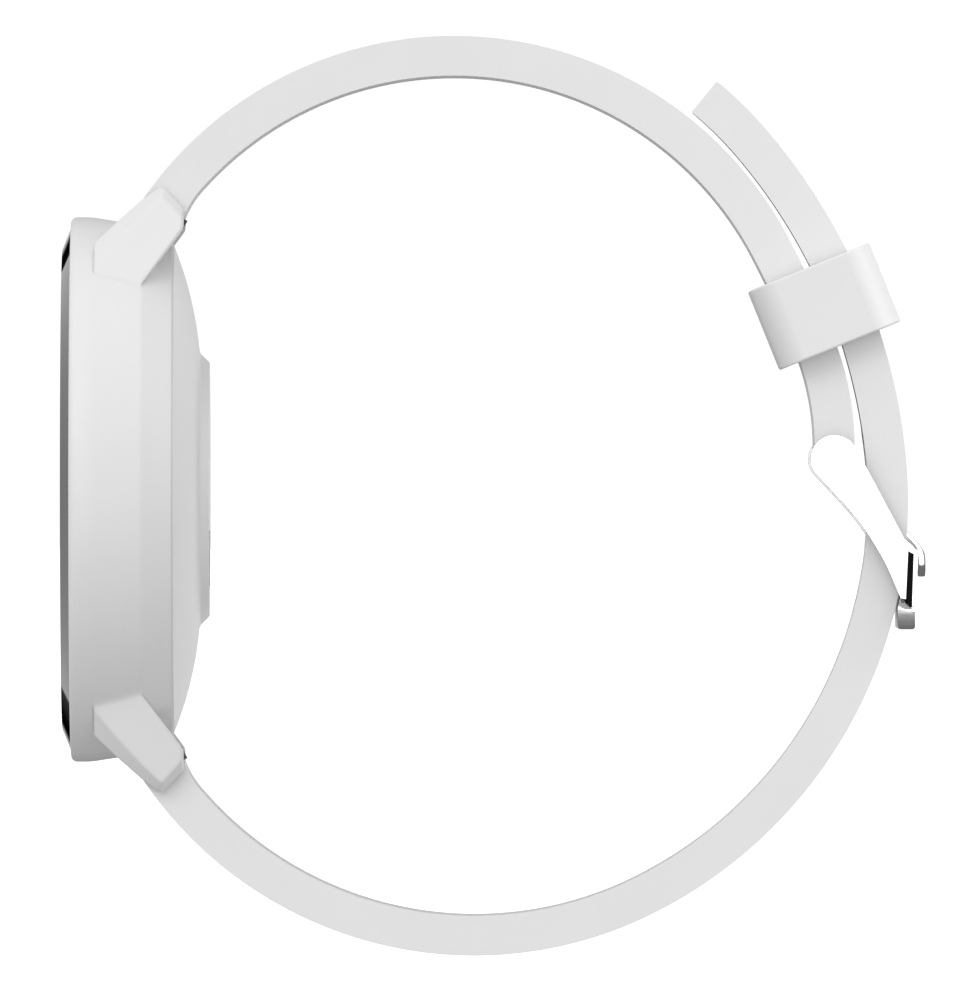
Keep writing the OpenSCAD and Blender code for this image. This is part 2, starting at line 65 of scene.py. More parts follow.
# Stations along X, from the lens face to the boss plane, as in the CAD model.
LENS_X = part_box("cover_lens")[0].x / MM
LENS_BACK_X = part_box("cover_lens")[1].x / MM
LENS_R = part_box("cover_lens")[1].z / MM
LENS_FACE_R = 19.3
LENS_BEVEL = 0.7
FRONT_X = LENS_X + LENS_BEVEL
CASE_R = 21.9
CAVITY_R = 18.3
REBATE_R = LENS_R + 0.1
LEDGE_X = LENS_BACK_X + 0.2
EDGE_X = -5.37
SEAT_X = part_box("back_cover")[0].x / MM
REAR_X = -2.87
BACK_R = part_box("back_cover")[1].z / MM
BOSS_R = 10.2
SCREEN_R = 16.6
FRONT_ROUND = 0.5

# Strap bars and lugs.
BAR_X = -4.1
BAR_Z = 22.2
LUG_IN = 10.25
LUG_OUT = 13.75
LUG_LEAN = math.radians(13)
LUG_ROOT_Z = 15.8
SCOOP_R = 2.25

# Straps: width, thickness and the arcs, [radius, sweep], of each half's mid-line.
STRAP_HALF_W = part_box("strap_buckle_half")[1].y / MM
STRAP_T = 3.2
ROOT_R = 1.85
ROOT_SHIFT = 0.25
UPPER_HEADING = 55.8
UPPER_ARCS = ((28.7, 118.4), (80.0, 6.1), (22.5, 23.6))
LOWER_HEADING = 56.3
LOWER_ARCS = ((30.5, 82.7), (35.3, 68.6), (45.5, 35.9), (30.6, 9.6))
SLOT_USED = 82.6
SLOT_HALF_LEN = 2.8
SLOT_PITCH = 7.5
SLOTS_BEFORE = 4
SLOT_COUNT = 8
TAIL_LEAN = 0.17
KNOB_Y = -6.5

# Keeper and buckle.
KEEPER_AT = (49.4, 14.7)
KEEPER_TILT = 22
KEEPER_LEN = 6.8
KEEPER_IN = 8.15
KEEPER_WALL = 1.1
KEEPER_SIDE = 2.3
KEEPER_CORNER = (2.2, 3.5)
BUCKLE_AT = (50.14, 2.44)
BUCKLE_BAR_R = 0.75
ARM_IN = 10.4
ARM_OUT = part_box("buckle_frame")[1].y / MM
TONGUE_DROP = 46
TONGUE_RUN = 9.4

# Buttons.
BUTTON_X = -6.6
BUTTON_ANGLE = 28
CAP_BASE = 21.0
CAP_TOP = 22.8
STEM_R = 1.25
STEM_IN = 17.35
GROOVE_R = 0.8


# ---------------------------------------------------------------------------
# Materials


def shader(name):
    """A new material, its nodes and links, and its Principled shader."""
    made = bpy.data.materials.new(name)
    made.use_nodes = True
    nodes = made.node_tree.nodes
    return made, nodes, made.node_tree.links, nodes["Principled BSDF"]


def noise(nodes, links, size, detail=3.0, stretch=(1, 1, 1)):
    """A noise pattern in the object's own space, with features of this size in millimetres."""
    place = nodes.new("ShaderNodeTexCoord")
    scaled = nodes.new("ShaderNodeMapping")
    scaled.inputs["Scale"].default_value = [1 / (size * MM * s) for s in stretch]
    pattern = nodes.new("ShaderNodeTexNoise")
    pattern.inputs["Scale"].default_value = 1.0
    pattern.inputs["Detail"].default_value = detail
    links.new(place.outputs["Object"], scaled.inputs["Vector"])
    links.new(scaled.outputs["Vector"], pattern.inputs["Vector"])
    return pattern.outputs["Fac"]


def spread(nodes, links, value, low, high):
    """A noise value stretched to run from low to high."""
    ranged = nodes.new("ShaderNodeMapRange")
    ranged.inputs["From Min"].default_value = 0.3
    ranged.inputs["From Max"].default_value = 0.7
    ranged.inputs["To Min"].default_value = low
    ranged.inputs["To Max"].default_value = high
    links.new(value, ranged.inputs["Value"])
    return ranged.outputs["Result"]


def mixed(nodes, links, factor, first, second):
    """A colour between two, by a factor socket."""
    mix = nodes.new("ShaderNodeMix")
    mix.data_type = "RGBA"
    mix.inputs[6].default_value = (*first, 1)
    mix.inputs[7].default_value = (*second, 1)
    links.new(factor, mix.inputs[0])
    return mix.outputs[2]


def surface(
    name,
    colour,
    rough,
    metal=0.0,
    vary=0.03,
    patch=5.0,
    grain=0.25,
    depth=0.004,
    stretch=(1, 1, 1),
    coat=0.0,
    soft_edge=0.0,
    specular=0.5,
):
    """A moulded or metal surface: patchy colour, uneven roughness and a fine grain of this depth."""
    made, nodes, links, main = shader(name)
    main.inputs["Metallic"].default_value = metal
    main.inputs["Coat Weight"].default_value = coat
    main.inputs["Coat Roughness"].default_value = 0.05
    main.inputs["Specular IOR Level"].default_value = specular
    patches = spread(nodes, links, noise(nodes, links, patch), 0, 1)
    darker = [c * (1 - vary) for c in colour]
    links.new(mixed(nodes, links, patches, darker, colour), main.inputs["Base Color"])
    fine = noise(nodes, links, grain, 2.0, stretch)
    links.new(spread(nodes, links, fine, rough * 0.85, rough * 1.15), main.inputs["Roughness"])
    bump = nodes.new("ShaderNodeBump")
    bump.inputs["Strength"].default_value = 0.6
    bump.inputs["Distance"].default_value = depth * MM
    links.new(fine, bump.inputs["Height"])
    if soft_edge:
        bevel = nodes.new("ShaderNodeBevel")
        bevel.samples = 6
        bevel.inputs["Radius"].default_value = soft_edge * MM
        links.new(bevel.outputs["Normal"], bump.inputs["Normal"])
    links.new(bump.outputs["Normal"], main.inputs["Normal"])
    return made


def glass():
    """Cover glass: black ink at its rim, clear over the screen, and glossy on its outer face."""
    made, nodes, links, main = shader("lens_glass")
    main.inputs["Base Color"].default_value = (0.004, 0.004, 0.005, 1)
    main.inputs["IOR"].default_value = 1.5
    fine = noise(nodes, links, 6.0)
    links.new(spread(nodes, links, fine, 0.02, 0.05), main.inputs["Roughness"])
    place = nodes.new("ShaderNodeTexCoord")
    flat = nodes.new("ShaderNodeVectorMath")
    flat.operation = "MULTIPLY"
    flat.inputs[1].default_value = (0, 1, 1)
    radius = nodes.new("ShaderNodeVectorMath")
    radius.operation = "LENGTH"
    window = nodes.new("ShaderNodeMath")
    window.operation = "LESS_THAN"
    window.inputs[1].default_value = SCREEN_R * MM
    links.new(place.outputs["Object"], flat.inputs[0])
    links.new(flat.outputs["Vector"], radius.inputs[0])
    links.new(radius.outputs["Value"], window.inputs[0])
    gloss = nodes.new("ShaderNodeBsdfGlossy")
    gloss.inputs["Roughness"].default_value = 0.03
    clear = nodes.new("ShaderNodeBsdfTransparent")
    facing = nodes.new("ShaderNodeFresnel")
    facing.inputs["IOR"].default_value = 1.4
    depth = nodes.new("ShaderNodeSeparateXYZ")
    front = nodes.new("ShaderNodeMath")
    front.operation = "LESS_THAN"
    front.inputs[1].default_value = (LENS_X + LENS_BACK_X) / 2 * MM
    outer_face = nodes.new("ShaderNodeMath")
    outer_face.operation = "MULTIPLY"
    links.new(place.outputs["Object"], depth.inputs["Vector"])
    links.new(depth.outputs["X"], front.inputs[0])
    links.new(facing.outputs["Fac"], outer_face.inputs[0])
    links.new(front.outputs["Value"], outer_face.inputs[1])
    pane = nodes.new("ShaderNodeMixShader")
    links.new(outer_face.outputs["Value"], pane.inputs["Fac"])
    links.new(clear.outputs["BSDF"], pane.inputs[1])
    links.new(gloss.outputs["BSDF"], pane.inputs[2])
    whole = nodes.new("ShaderNodeMixShader")
    links.new(window.outputs["Value"], whole.inputs["Fac"])
    links.new(main.outputs["BSDF"], whole.inputs[1])
    links.new(pane.outputs["Shader"], whole.inputs[2])
    links.new(whole.outputs["Shader"], nodes["Material Output"].inputs["Surface"])
    return made


def lit(name, colour, strength, vary=0.15, patch=1.2):
    """A lit part of the screen: a colour with fine patches that gives off its own light."""
    made, nodes, links, main = shader(name)
    patches = spread(nodes, links, noise(nodes, links, patch), 0, 1)
    darker = [c * (1 - vary) for c in colour]
    tint = mixed(nodes, links, patches, darker, colour)
    links.new(tint, main.inputs["Base Color"])
    links.new(tint, main.inputs["Emission Color"])
    main.inputs["Emission Strength"].default_value = strength
    main.inputs["Roughness"].default_value = 0.5
    return made


def board():
    """Circuit board: green solder mask over rows of copper tracks."""
    made, nodes, links, main = shader("solder_mask")
    place = nodes.new("ShaderNodeTexCoord")
    tracks = nodes.new("ShaderNodeTexWave")
    tracks.bands_direction = "Y"
    tracks.inputs["Scale"].default_value = 0.9 / MM
    tracks.inputs["Distortion"].default_value = 2.5
    tracks.inputs["Detail"].default_value = 1.0
    links.new(place.outputs["Object"], tracks.inputs["Vector"])
    lines = spread(nodes, links, tracks.outputs["Fac"], 0, 1)
    links.new(
        mixed(nodes, links, lines, (0.008, 0.09, 0.03), (0.02, 0.2, 0.07)), main.inputs["Base Color"]
    )
    links.new(spread(nodes, links, noise(nodes, links, 0.4), 0.25, 0.4), main.inputs["Roughness"])
    bump = nodes.new("ShaderNodeBump")
    bump.inputs["Distance"].default_value = 0.02 * MM
    links.new(lines, bump.inputs["Height"])
    links.new(bump.outputs["Normal"], main.inputs["Normal"])
    return made


WHITE = (0.84, 0.84, 0.84)
polymer = surface(
    "white_polymer", WHITE, 0.42, vary=0.015, patch=9, grain=0.3, depth=0.003, soft_edge=0.35
)
cover_polymer = surface("cover_polymer", WHITE, 0.4, vary=0.015, patch=9, grain=0.3, depth=0.003)
silicone = surface("silicone", WHITE, 0.55, vary=0.02, patch=7, grain=0.2, depth=0.006)
black_plastic = surface("black_plastic", (0.012, 0.012, 0.013), 0.5, vary=0.2, patch=2, depth=0.01)
seal_rubber = surface("seal_rubber", (0.015, 0.015, 0.015), 0.7, vary=0.2, patch=1, depth=0.012)
glue = surface("glue", (0.08, 0.08, 0.08), 0.6, vary=0.2, patch=0.8, depth=0.02)
# Painted shade: the release pins' steel colour is darkened to stand in for the dark surroundings it reflects.
shade_darkened_steel = surface(
    "shade_darkened_steel", (0.16, 0.16, 0.17), 0.35, metal=1, vary=0.08, patch=0.8, grain=0.15, depth=0.002
)
steel = surface(
    "steel", (0.62, 0.62, 0.64), 0.28, metal=1, vary=0.06, patch=1.5, grain=0.15, depth=0.002
)
polished = surface("polished_steel", (0.9, 0.9, 0.9), 0.12, metal=1, vary=0.03, patch=2, depth=0.0008)
# Painted shade: a flat black for the strips beside the buckle's end bar, standing in for dark reflection and
# shadow there.
painted_shade_black = surface("painted_shade_groove_black", (0.004, 0.004, 0.004), 0.6, vary=0.3, patch=0.6, specular=0.1)
tinned = surface("tinned_sheet", (0.7, 0.7, 0.69), 0.35, metal=1, patch=3, grain=0.3, stretch=(1, 6, 1))
gold = surface("gold_plate", (0.9, 0.66, 0.28), 0.22, metal=1, vary=0.08, patch=0.7, depth=0.002)
film = surface("flex_film", (0.5, 0.2, 0.03), 0.3, vary=0.25, patch=0.8, stretch=(1, 1, 5), coat=0.4)
panel = surface("screen_panel", (0.006, 0.008, 0.008), 0.25, vary=0.3, patch=3, depth=0.001)
frame_plastic = surface("frame_plastic", (0.06, 0.065, 0.07), 0.5, vary=0.15, patch=2, depth=0.01)
solder_mask = board()
ceramic = surface("antenna_ceramic", (0.55, 0.45, 0.25), 0.45, vary=0.1, patch=1)
foil = surface("battery_foil", (0.6, 0.61, 0.63), 0.32, metal=0.9, patch=2.5, grain=0.5, depth=0.03)
foam = surface("foam_pad", (0.06, 0.06, 0.06), 0.85, vary=0.3, patch=0.4, depth=0.04)
lead_red = surface("lead_red", (0.45, 0.02, 0.015), 0.4, vary=0.1, patch=1)
lens_glass = glass()

KEPT = {
    cover_polymer: ["screw_plugs"],
    seal_rubber: ["back_gasket", "upper_button_seal", "lower_button_seal"],
    glue: ["lens_gasket"],
    steel: [
        "back_screws", "frame_screws", "vibration_motor", "buckle_bar",
        "upper_button_spring", "upper_button_clip", "lower_button_spring", "lower_button_clip",
        "upper_bar_tube", "upper_bar_tip", "upper_release_spring",
        "lower_bar_tube", "lower_bar_tip", "lower_release_spring",
    ],
    shade_darkened_steel: ["upper_release_pin", "lower_release_pin"],
    black_plastic: ["contact_block", "board_chips", "side_switches"],
    gold: ["charge_pins"],
    film: ["charge_flex", "display_flex"],
    panel: ["display_panel"],
    tinned: ["display_backplate", "shield_can"],
    frame_plastic: ["inner_frame"],
    solder_mask: ["main_board"],
    ceramic: ["gnss_antenna"],
    foil: ["battery"],
    foam: ["battery_pad"],
    lead_red: ["battery_lead"],
}


def finish_nodes():
    """Gives every CAD node that stays its procedural material."""
    for finish, names in KEPT.items():
        for name in names:
            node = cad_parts[name]
            if not node.material_slots:
                node.data.materials.append(finish)
            for place in node.material_slots:
                place.material = finish


# ---------------------------------------------------------------------------
# Mesh tools


def solid(name, verts, faces):
    """A mesh object from vertices in millimetres, merged and with its faces turned outwards."""
    mesh = bpy.data.meshes.new(name)
    mesh.from_pydata([Vector(v) for v in verts], [], faces)
    obj = bpy.data.objects.new(name, mesh)
    bpy.context.collection.objects.link(obj)
    tidy(obj)
    return obj


def tidy(obj):
    """Merges doubled vertices and turns every face outwards."""
    work = bmesh.new()
    work.from_mesh(obj.data)
    bmesh.ops.remove_doubles(work, verts=work.verts, dist=0.0005)
    bmesh.ops.dissolve_degenerate(work, edges=work.edges, dist=0.0002)
    bmesh.ops.recalc_face_normals(work, faces=work.faces)
    work.to_mesh(obj.data)
    work.free()


def turned(name, profile, segments=192):
    """A closed profile of (radius, x) turned about the X axis."""
    count = len(profile)
    verts = []
    faces = []
    for k in range(segments):
        angle = 2 * math.pi * k / segments
        verts.extend((x, r * math.cos(angle), r * math.sin(angle)) for r, x in profile)
        for i in range(count):
            j = (i + 1) % count
            after = (k + 1) % segments
            faces.append((k * count + i, k * count + j, after * count + j, after * count + i))
    return solid(name, verts, faces)


def rounded(corners, steps=6):
    """An outline from corners (a, b, radius), each rounded to its radius."""
    points = []
    for i, (a, b, radius) in enumerate(corners):
        corner = Vector((a, b))
        if not radius:
            points.append(corner)
            continue
        back = (Vector(corners[i - 1][:2]) - corner).normalized()
        on = (Vector(corners[(i + 1) % len(corners)][:2]) - corner).normalized()
        half = math.acos(max(-1, min(1, back.dot(on)))) / 2
        centre = corner + (back + on).normalized() * radius / math.sin(half)
        first = corner + back * radius / math.tan(half) - centre
        last = corner + on * radius / math.tan(half) - centre
        begin = math.atan2(first.y, first.x)
        turn = (math.atan2(last.y, last.x) - begin + math.pi) % (2 * math.pi) - math.pi
        for k in range(steps + 1):
            angle = begin + turn * k / steps
            points.append(centre + radius * Vector((math.cos(angle), math.sin(angle))))
    return points


def arc(centre, radius, begin, end, steps):
    """Points on an arc, with its angles in degrees."""
    angles = [math.radians(begin + (end - begin) * k / steps) for k in range(steps + 1)]
    return [(centre[0] + radius * math.cos(a), centre[1] + radius * math.sin(a)) for a in angles]


def flowing(points, steps=8):
    """A smooth line through points, without its last one."""
    line = []
    for i in range(len(points) - 1):
        before = Vector(points[max(i - 1, 0)])
        start = Vector(points[i])
        end = Vector(points[i + 1])
        after = Vector(points[min(i + 2, len(points) - 1)])
        for k in range(steps):
            t = k / steps
            curve = 2 * start + (end - before) * t
            curve += (2 * before - 5 * start + 4 * end - after) * t * t
            curve += (3 * start - before - 3 * end + after) * t ** 3
            line.append(curve / 2)
    return line


def plate(name, outline, low, high):
    """An outline of (x, z) extruded along Y."""
    n = len(outline)
    verts = [(x, low, z) for x, z in outline] + [(x, high, z) for x, z in outline]
    faces = [tuple(range(n)), tuple(range(2 * n - 1, n - 1, -1))]
    faces += [(i, (i + 1) % n, n + (i + 1) % n, n + i) for i in range(n)]
    return solid(name, verts, faces)


def pipe(name, centre, radius, low, high, segments=64):
    """A round bar along Y through centre (x, z), mostly used as a cutter."""
    return plate(name, arc(centre, radius, 0, 360 - 360 / segments, segments - 1), low, high)


def settle(obj):
    """Applies every modifier of obj."""
    graph = bpy.context.evaluated_depsgraph_get()
    old = obj.data
    made = bpy.data.meshes.new_from_object(obj.evaluated_get(graph))
    obj.modifiers.clear()
    obj.data = made
    made.name = old.name
    bpy.data.meshes.remove(old)


def cut(obj, *cutters):
    """Cuts the cutters out of obj and removes them."""
    for cutter in cutters:
        step = obj.modifiers.new("cut", "BOOLEAN")
        step.operation = "DIFFERENCE"
        step.solver = "EXACT"
        step.object = cutter
    settle(obj)
    for cutter in cutters:
        bpy.data.objects.remove(cutter)
    tidy(obj)


def ease(obj, width, segments=3, angle=32):
    """Rounds every edge of obj that turns by more than an angle."""
    step = obj.modifiers.new("ease", "BEVEL")
    step.width = width
    step.segments = segments
    step.limit_method = "ANGLE"
    step.angle_limit = math.radians(angle)
    settle(obj)
    tidy(obj)


def joined(name, *parts):
    """One object made of several."""
    work = bmesh.new()
    for part in parts:
        part.data.transform(part.matrix_world)
        work.from_mesh(part.data)
        bpy.data.objects.remove(part)
    mesh = bpy.data.meshes.new(name)
    work.to_mesh(mesh)
    work.free()
    obj = bpy.data.objects.new(name, mesh)
    bpy.context.collection.objects.link(obj)
    return obj


def mirrored(obj, axis):
    """A copy of obj mirrored in the plane across an axis."""
    twin = obj.copy()
    twin.data = obj.data.copy()
    bpy.context.collection.objects.link(twin)
    twin.data.transform(Matrix.Scale(-1, 4, axis))
    twin.data.flip_normals()
    return twin


def place(obj, body, finish, slot_name, nodes, sharp=38):
    """Brings a piece to metres, shades it, gives it its finish, and lets it stand for CAD nodes."""
    obj.data.transform(Matrix.Scale(MM, 4))
    obj.data.polygons.foreach_set("use_smooth", [True] * len(obj.data.polygons))
    obj.data.set_sharp_from_angle(angle=math.radians(sharp))
    if not obj.data.materials:
        obj.data.materials.append(finish)
    even = obj.modifiers.new("even_shading", "WEIGHTED_NORMAL")
    even.keep_sharp = True
    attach(obj, body)
    if nodes:
        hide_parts(*nodes)
    return obj


# ---------------------------------------------------------------------------
# Case, back and lens


def lug():
    """The upper lug on the +Y side: its full outline, then a smaller outer face with wide bevels."""
    foot = [
        (-9.2, LUG_ROOT_Z, 0), (-9.2, 19.7, 0.2), (-7.3, 21.5, 0), (-5.2, 23.35, 0), (-3.8, 24.35, 0.45),
        (-2.02, 22.5, 0.7), (-2.02, 20.9, 0.8), (-5.33, 16.4, 0), (-5.33, LUG_ROOT_Z, 0),
    ]
    face = [
        (-9.2, LUG_ROOT_Z, 0), (-9.2, 17.6, 0.1), (-7.45, 19.75, 0), (-5.3, 22.1, 0), (-3.75, 23.55, 0.25),
        (-2.15, 21.75, 0.4), (-2.08, 20.9, 0.75), (-5.36, 16.45, 0), (-5.36, LUG_ROOT_Z, 0),
    ]
    drop = 1.1
    rings = [[(x, LUG_IN, z) for x, z in rounded(foot)]]
    rings.append([(x, lug_face_y(z) - drop, z) for x, z in rounded(foot)])
    rings.append([(x, lug_face_y(z), z) for x, z in rounded(face)])
    n = len(rings[0])
    verts = [point for ring in rings for point in ring]
    faces = [tuple(range(n)), tuple(range(3 * n - 1, 2 * n - 1, -1))]
    for low in (0, n):
        faces += [(low + i, low + (i + 1) % n, low + n + (i + 1) % n, low + n + i) for i in range(n)]
    made = solid("lug", verts, faces)
    ease(made, 0.16, angle=20)
    return made


def lug_face_y(z):
    """Where a lug's outer face lies at a height, as it leans in towards the tip."""
    return LUG_OUT - math.tan(LUG_LEAN) * (z - LUG_ROOT_Z)


def about_button(side):
    """From a frame with X outwards along a button's axis to the watch's frame."""
    spin = Matrix.Rotation(math.radians(side * BUTTON_ANGLE), 4, "X")
    return spin @ Matrix.Translation((BUTTON_X, 0, 0)) @ Matrix.Rotation(math.radians(90), 4, "Z")


def case_body():
    """The main case: a turned shell with wells for the buttons, and four lugs."""
    profile = rounded(
        [
            (REBATE_R, FRONT_X, 0.06), (CASE_R, FRONT_X, FRONT_ROUND),
            (CASE_R, -9.5, 6), (CASE_R - 0.35, -7.3, 6),
            (CASE_R - 0.7, EDGE_X, 0.12), (BACK_R + 0.15, REAR_X, 0.05), (BACK_R + 0.05, REAR_X, 0.03),
            (BACK_R + 0.05, SEAT_X, 0), (CAVITY_R, SEAT_X, 0), (CAVITY_R, LEDGE_X, 0), (REBATE_R, LEDGE_X, 0),
        ]
    )
    shell = turned("case_body", profile, 240)
    cutters = []
    for side in (1, -1):
        well = turned("well", [(0, 20.2), (2.1, 20.2), (2.1, 24), (0, 24)], 48)
        well.data.transform(about_button(side))
        bore = turned("bore", [(0, 16), (1.3, 16), (1.3, 22), (0, 22)], 48)
        bore.data.transform(about_button(side))
        scoop = pipe("scoop", (BAR_X, side * BAR_Z), SCOOP_R, -LUG_IN, LUG_IN)
        cutters += [well, bore, scoop]
    cut(shell, *cutters)
    upper = lug()
    lugs = [upper, mirrored(upper, (0, 1, 0))]
    lugs += [mirrored(part, (0, 0, 1)) for part in list(lugs)]
    return place(joined("case_body", shell, *lugs), "case", polymer, "case_polymer", ["main_case"], 28)


def back_cover():
    """The back cover: a dome with a flat boss, sunk screws and a window for the contacts."""
    dome_r = 29.5
    dome_at = (8.5, -30.19)

    def dome(r, wall):
        return dome_at[1] + math.sqrt((dome_r - wall) ** 2 - (r - dome_at[0]) ** 2)

    outer = [(r, dome(r, 0)) for r in (11.2 + 0.3 * k for k in range(28))]
    inner = [(r, dome(r, 0.9)) for r in (17.4 - 0.5 * k for k in range(18))]
    groove = [(BOSS_R - 1.5, 0, 0.04), (BOSS_R - 1.3, -0.12, 0.04), (BOSS_R - 1.1, 0, 0.04)]
    top = [(0, 0, 0)] + groove + [(BOSS_R, 0, 0.08), (BOSS_R + 0.7, -0.7, 0.1), (11.2, dome(11.2, 0), 0)]
    edge = [(BACK_R - 0.1, dome(BACK_R - 0.1, 0)), (BACK_R, dome(BACK_R, 0) - 0.08), (BACK_R, SEAT_X)]
    profile = [tuple(p) for p in rounded(top)] + outer[1:] + edge + [(17.4, SEAT_X)] + inner + [(0, -1.5)]
    cover = turned("back_cover_shell", profile)
    cutters = []
    for angle in (45, 135, 225, 315):
        head = turned("head", [(0, -3.2), (1.135, -3.2), (1.135, 0), (0, 0)], 48)
        head.data.transform(Matrix.Rotation(math.radians(angle), 4, "X") @ Matrix.Translation((0, 16.9, 0)))
        cutters.append(head)
    low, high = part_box("contact_block")
    window = rounded(
        [
            (low.y / MM - 0.03, low.z / MM - 0.03, 0.15), (high.y / MM + 0.03, low.z / MM - 0.03, 0.15),
            (high.y / MM + 0.03, high.z / MM + 0.03, 0.15), (low.y / MM - 0.03, high.z / MM + 0.03, 0.15),
        ]
    )
    opening = plate("window", window, -2.2, 0.5)
    opening.data.transform(Matrix.Rotation(math.radians(-90), 4, "Z"))
    cutters.append(opening)
    cut(cover, *cutters)
    return place(cover, "case", cover_polymer, "case_polymer", ["back_cover"], 28)


def cover_lens():
    """The cover lens, a disc with a bevel that stands proud of the case."""
    profile = rounded(
        [
            (0, LENS_X, 0), (LENS_FACE_R, LENS_X, 0.1), (LENS_R, FRONT_X, 0.06),
            (LENS_R, LENS_BACK_X - 0.08, 0), (0, LENS_BACK_X - 0.08, 0),
        ]
    )
    return place(turned("lens_cover", profile, 240), "case", lens_glass, "lens", ["cover_lens"], 28)


# ---------------------------------------------------------------------------
# Screen: a hole seen from above, and distances to the front, middle and back of its green.


def digit_bars(value):
    """The lit bars of a seven-bar digit, named by their place."""
    lit_bars = {
        0: "top,upper_left,upper_right,lower_left,lower_right,foot",
        1: "upper_right,lower_right",
        2: "top,upper_right,middle,lower_left,foot",
        3: "top,upper_right,middle,lower_right,foot",
        4: "upper_left,upper_right,middle,lower_right",
        5: "top,upper_left,middle,lower_right,foot",
        6: "top,upper_left,middle,lower_left,lower_right,foot",
        7: "top,upper_right,lower_right",
        8: "top,upper_left,upper_right,middle,lower_left,lower_right,foot",
        9: "top,upper_left,upper_right,middle,lower_right,foot",
    }
    return lit_bars[value].split(",")


def bar_outline(name, u, v, width, height):
    """A pointed bar of a digit whose lower left corner is at (u, v)."""
    half = height * 0.055
    long = {"top": (0, 2), "middle": (0, 1), "foot": (0, 0)}
    if name in long:
        level = v + height / 2 * long[name][1]
        left, right = u + half * 0.4, u + width - half * 0.4
        return [
            (left, level), (left + half, level + half), (right - half, level + half),
            (right, level), (right - half, level - half), (left + half, level - half),
        ]
    column = u if name.endswith("left") else u + width
    low = v + (height / 2 if name.startswith("upper") else 0) + half * 0.4
    high = low + height / 2 - half * 0.8
    return [
        (column, low), (column + half, low + half), (column + half, high - half),
        (column, high), (column - half, high - half), (column - half, low + half),
    ]


def screen():
    """Every shape of the picture, laid in thin layers just behind the glass."""
    verts = []
    faces = []
    kinds = []
    top_x = LENS_BACK_X - 0.02

    def lay(outline, layer, kind):
        first = len(verts)
        verts.extend((top_x - 0.01 * layer, -u, v) for u, v in outline)
        faces.append(tuple(range(first, first + len(outline))))
        kinds.append(kind)

    def number(value, u, v, width, height, kind):
        for k, character in enumerate(str(value)):
            for bar in digit_bars(int(character)):
                lay(bar_outline(bar, u + k * width * 1.45, v, width, height), 2, kind)

    def blob(u, v, wide, tall, wobble, turn, layer, kind):
        outline = []
        for k in range(48):
            a = 2 * math.pi * k / 48
            reach = 1 + wobble * math.sin(3 * a + turn)
            outline.append((u + wide * reach * math.cos(a), v + tall * reach * math.sin(a)))
        lay(outline, layer, kind)

    lay(arc((0, 0), SCREEN_R - 0.4, 0, 355, 71), 0, 0)
    fairway = []
    for k in range(25):
        t = k / 24
        fairway.append((-9.6 + 2.6 * math.sin(math.pi * t), -10.5 + 19 * t, 1.9 + 0.5 * math.sin(5 * t)))
    left = [(u - w, v) for u, v, w in fairway]
    right = [(u + w, v) for u, v, w in reversed(fairway)]
    rough_left = [(max(u - 1.5, -15.6 + abs(v) * 0.42), v) for u, v in left]
    lay(rough_left + [(u + 1.3, v) for u, v in right], 1, 1)
    lay(left + right, 2, 2)
    blob(-9.4, 9.3, 2.7, 2.1, 0.06, 0.5, 3, 3)
    blob(-12.1, 6.1, 0.9, 0.65, 0.12, 1.0, 3, 4)
    blob(-5.7, 7.2, 0.8, 1.1, 0.12, 2.0, 3, 4)
    blob(-4.9, -1.6, 0.9, 1.9, 0.1, 0.2, 3, 5)
    lay([(-9.35, 9.3), (-9.15, 9.3), (-9.15, 12.4), (-9.35, 12.4)], 4, 6)
    lay([(-9.15, 12.4), (-7.3, 11.8), (-9.15, 11.2)], 4, 7)
    lay(arc((-8.3, -9.0), 0.35, 0, 340, 17), 4, 6)
    number(163, 2.6, 7.3, 1.5, 3.0, 6)
    number(156, -0.6, -2.6, 3.2, 6.4, 6)
    number(148, 2.6, -8.9, 1.5, 3.0, 6)
    lay([(-0.6, 5.3), (12.6, 5.3), (12.6, 5.42), (-0.6, 5.42)], 2, 8)
    lay([(-0.6, -4.5), (12.6, -4.5), (12.6, -4.38), (-0.6, -4.38)], 2, 8)
    mesh = bpy.data.meshes.new("screen_picture")
    mesh.from_pydata(verts, [], faces)
    for finish in (
        lit("screen_black", (0.003, 0.005, 0.006), 0.3),
        lit("screen_rough", (0.01, 0.09, 0.025), 0.8, 0.35, 0.6),
        lit("screen_fairway", (0.03, 0.28, 0.06), 0.9, 0.2, 0.9),
        lit("screen_green", (0.12, 0.55, 0.12), 1.0, 0.1),
        lit("screen_sand", (0.75, 0.6, 0.32), 0.9),
        lit("screen_water", (0.02, 0.2, 0.6), 0.9),
        lit("screen_white", (0.85, 0.88, 0.9), 1.1, 0.05),
        lit("screen_flag", (0.8, 0.03, 0.02), 1.1),
        lit("screen_line", (0.12, 0.16, 0.18), 0.8),
    ):
        mesh.materials.append(finish)
    mesh.polygons.foreach_set("material_index", kinds)
    obj = bpy.data.objects.new("screen_picture", mesh)
    bpy.context.collection.objects.link(obj)
    mesh.transform(Matrix.Scale(MM, 4))
    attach(obj, "case")
    return obj


# ---------------------------------------------------------------------------
# Buttons


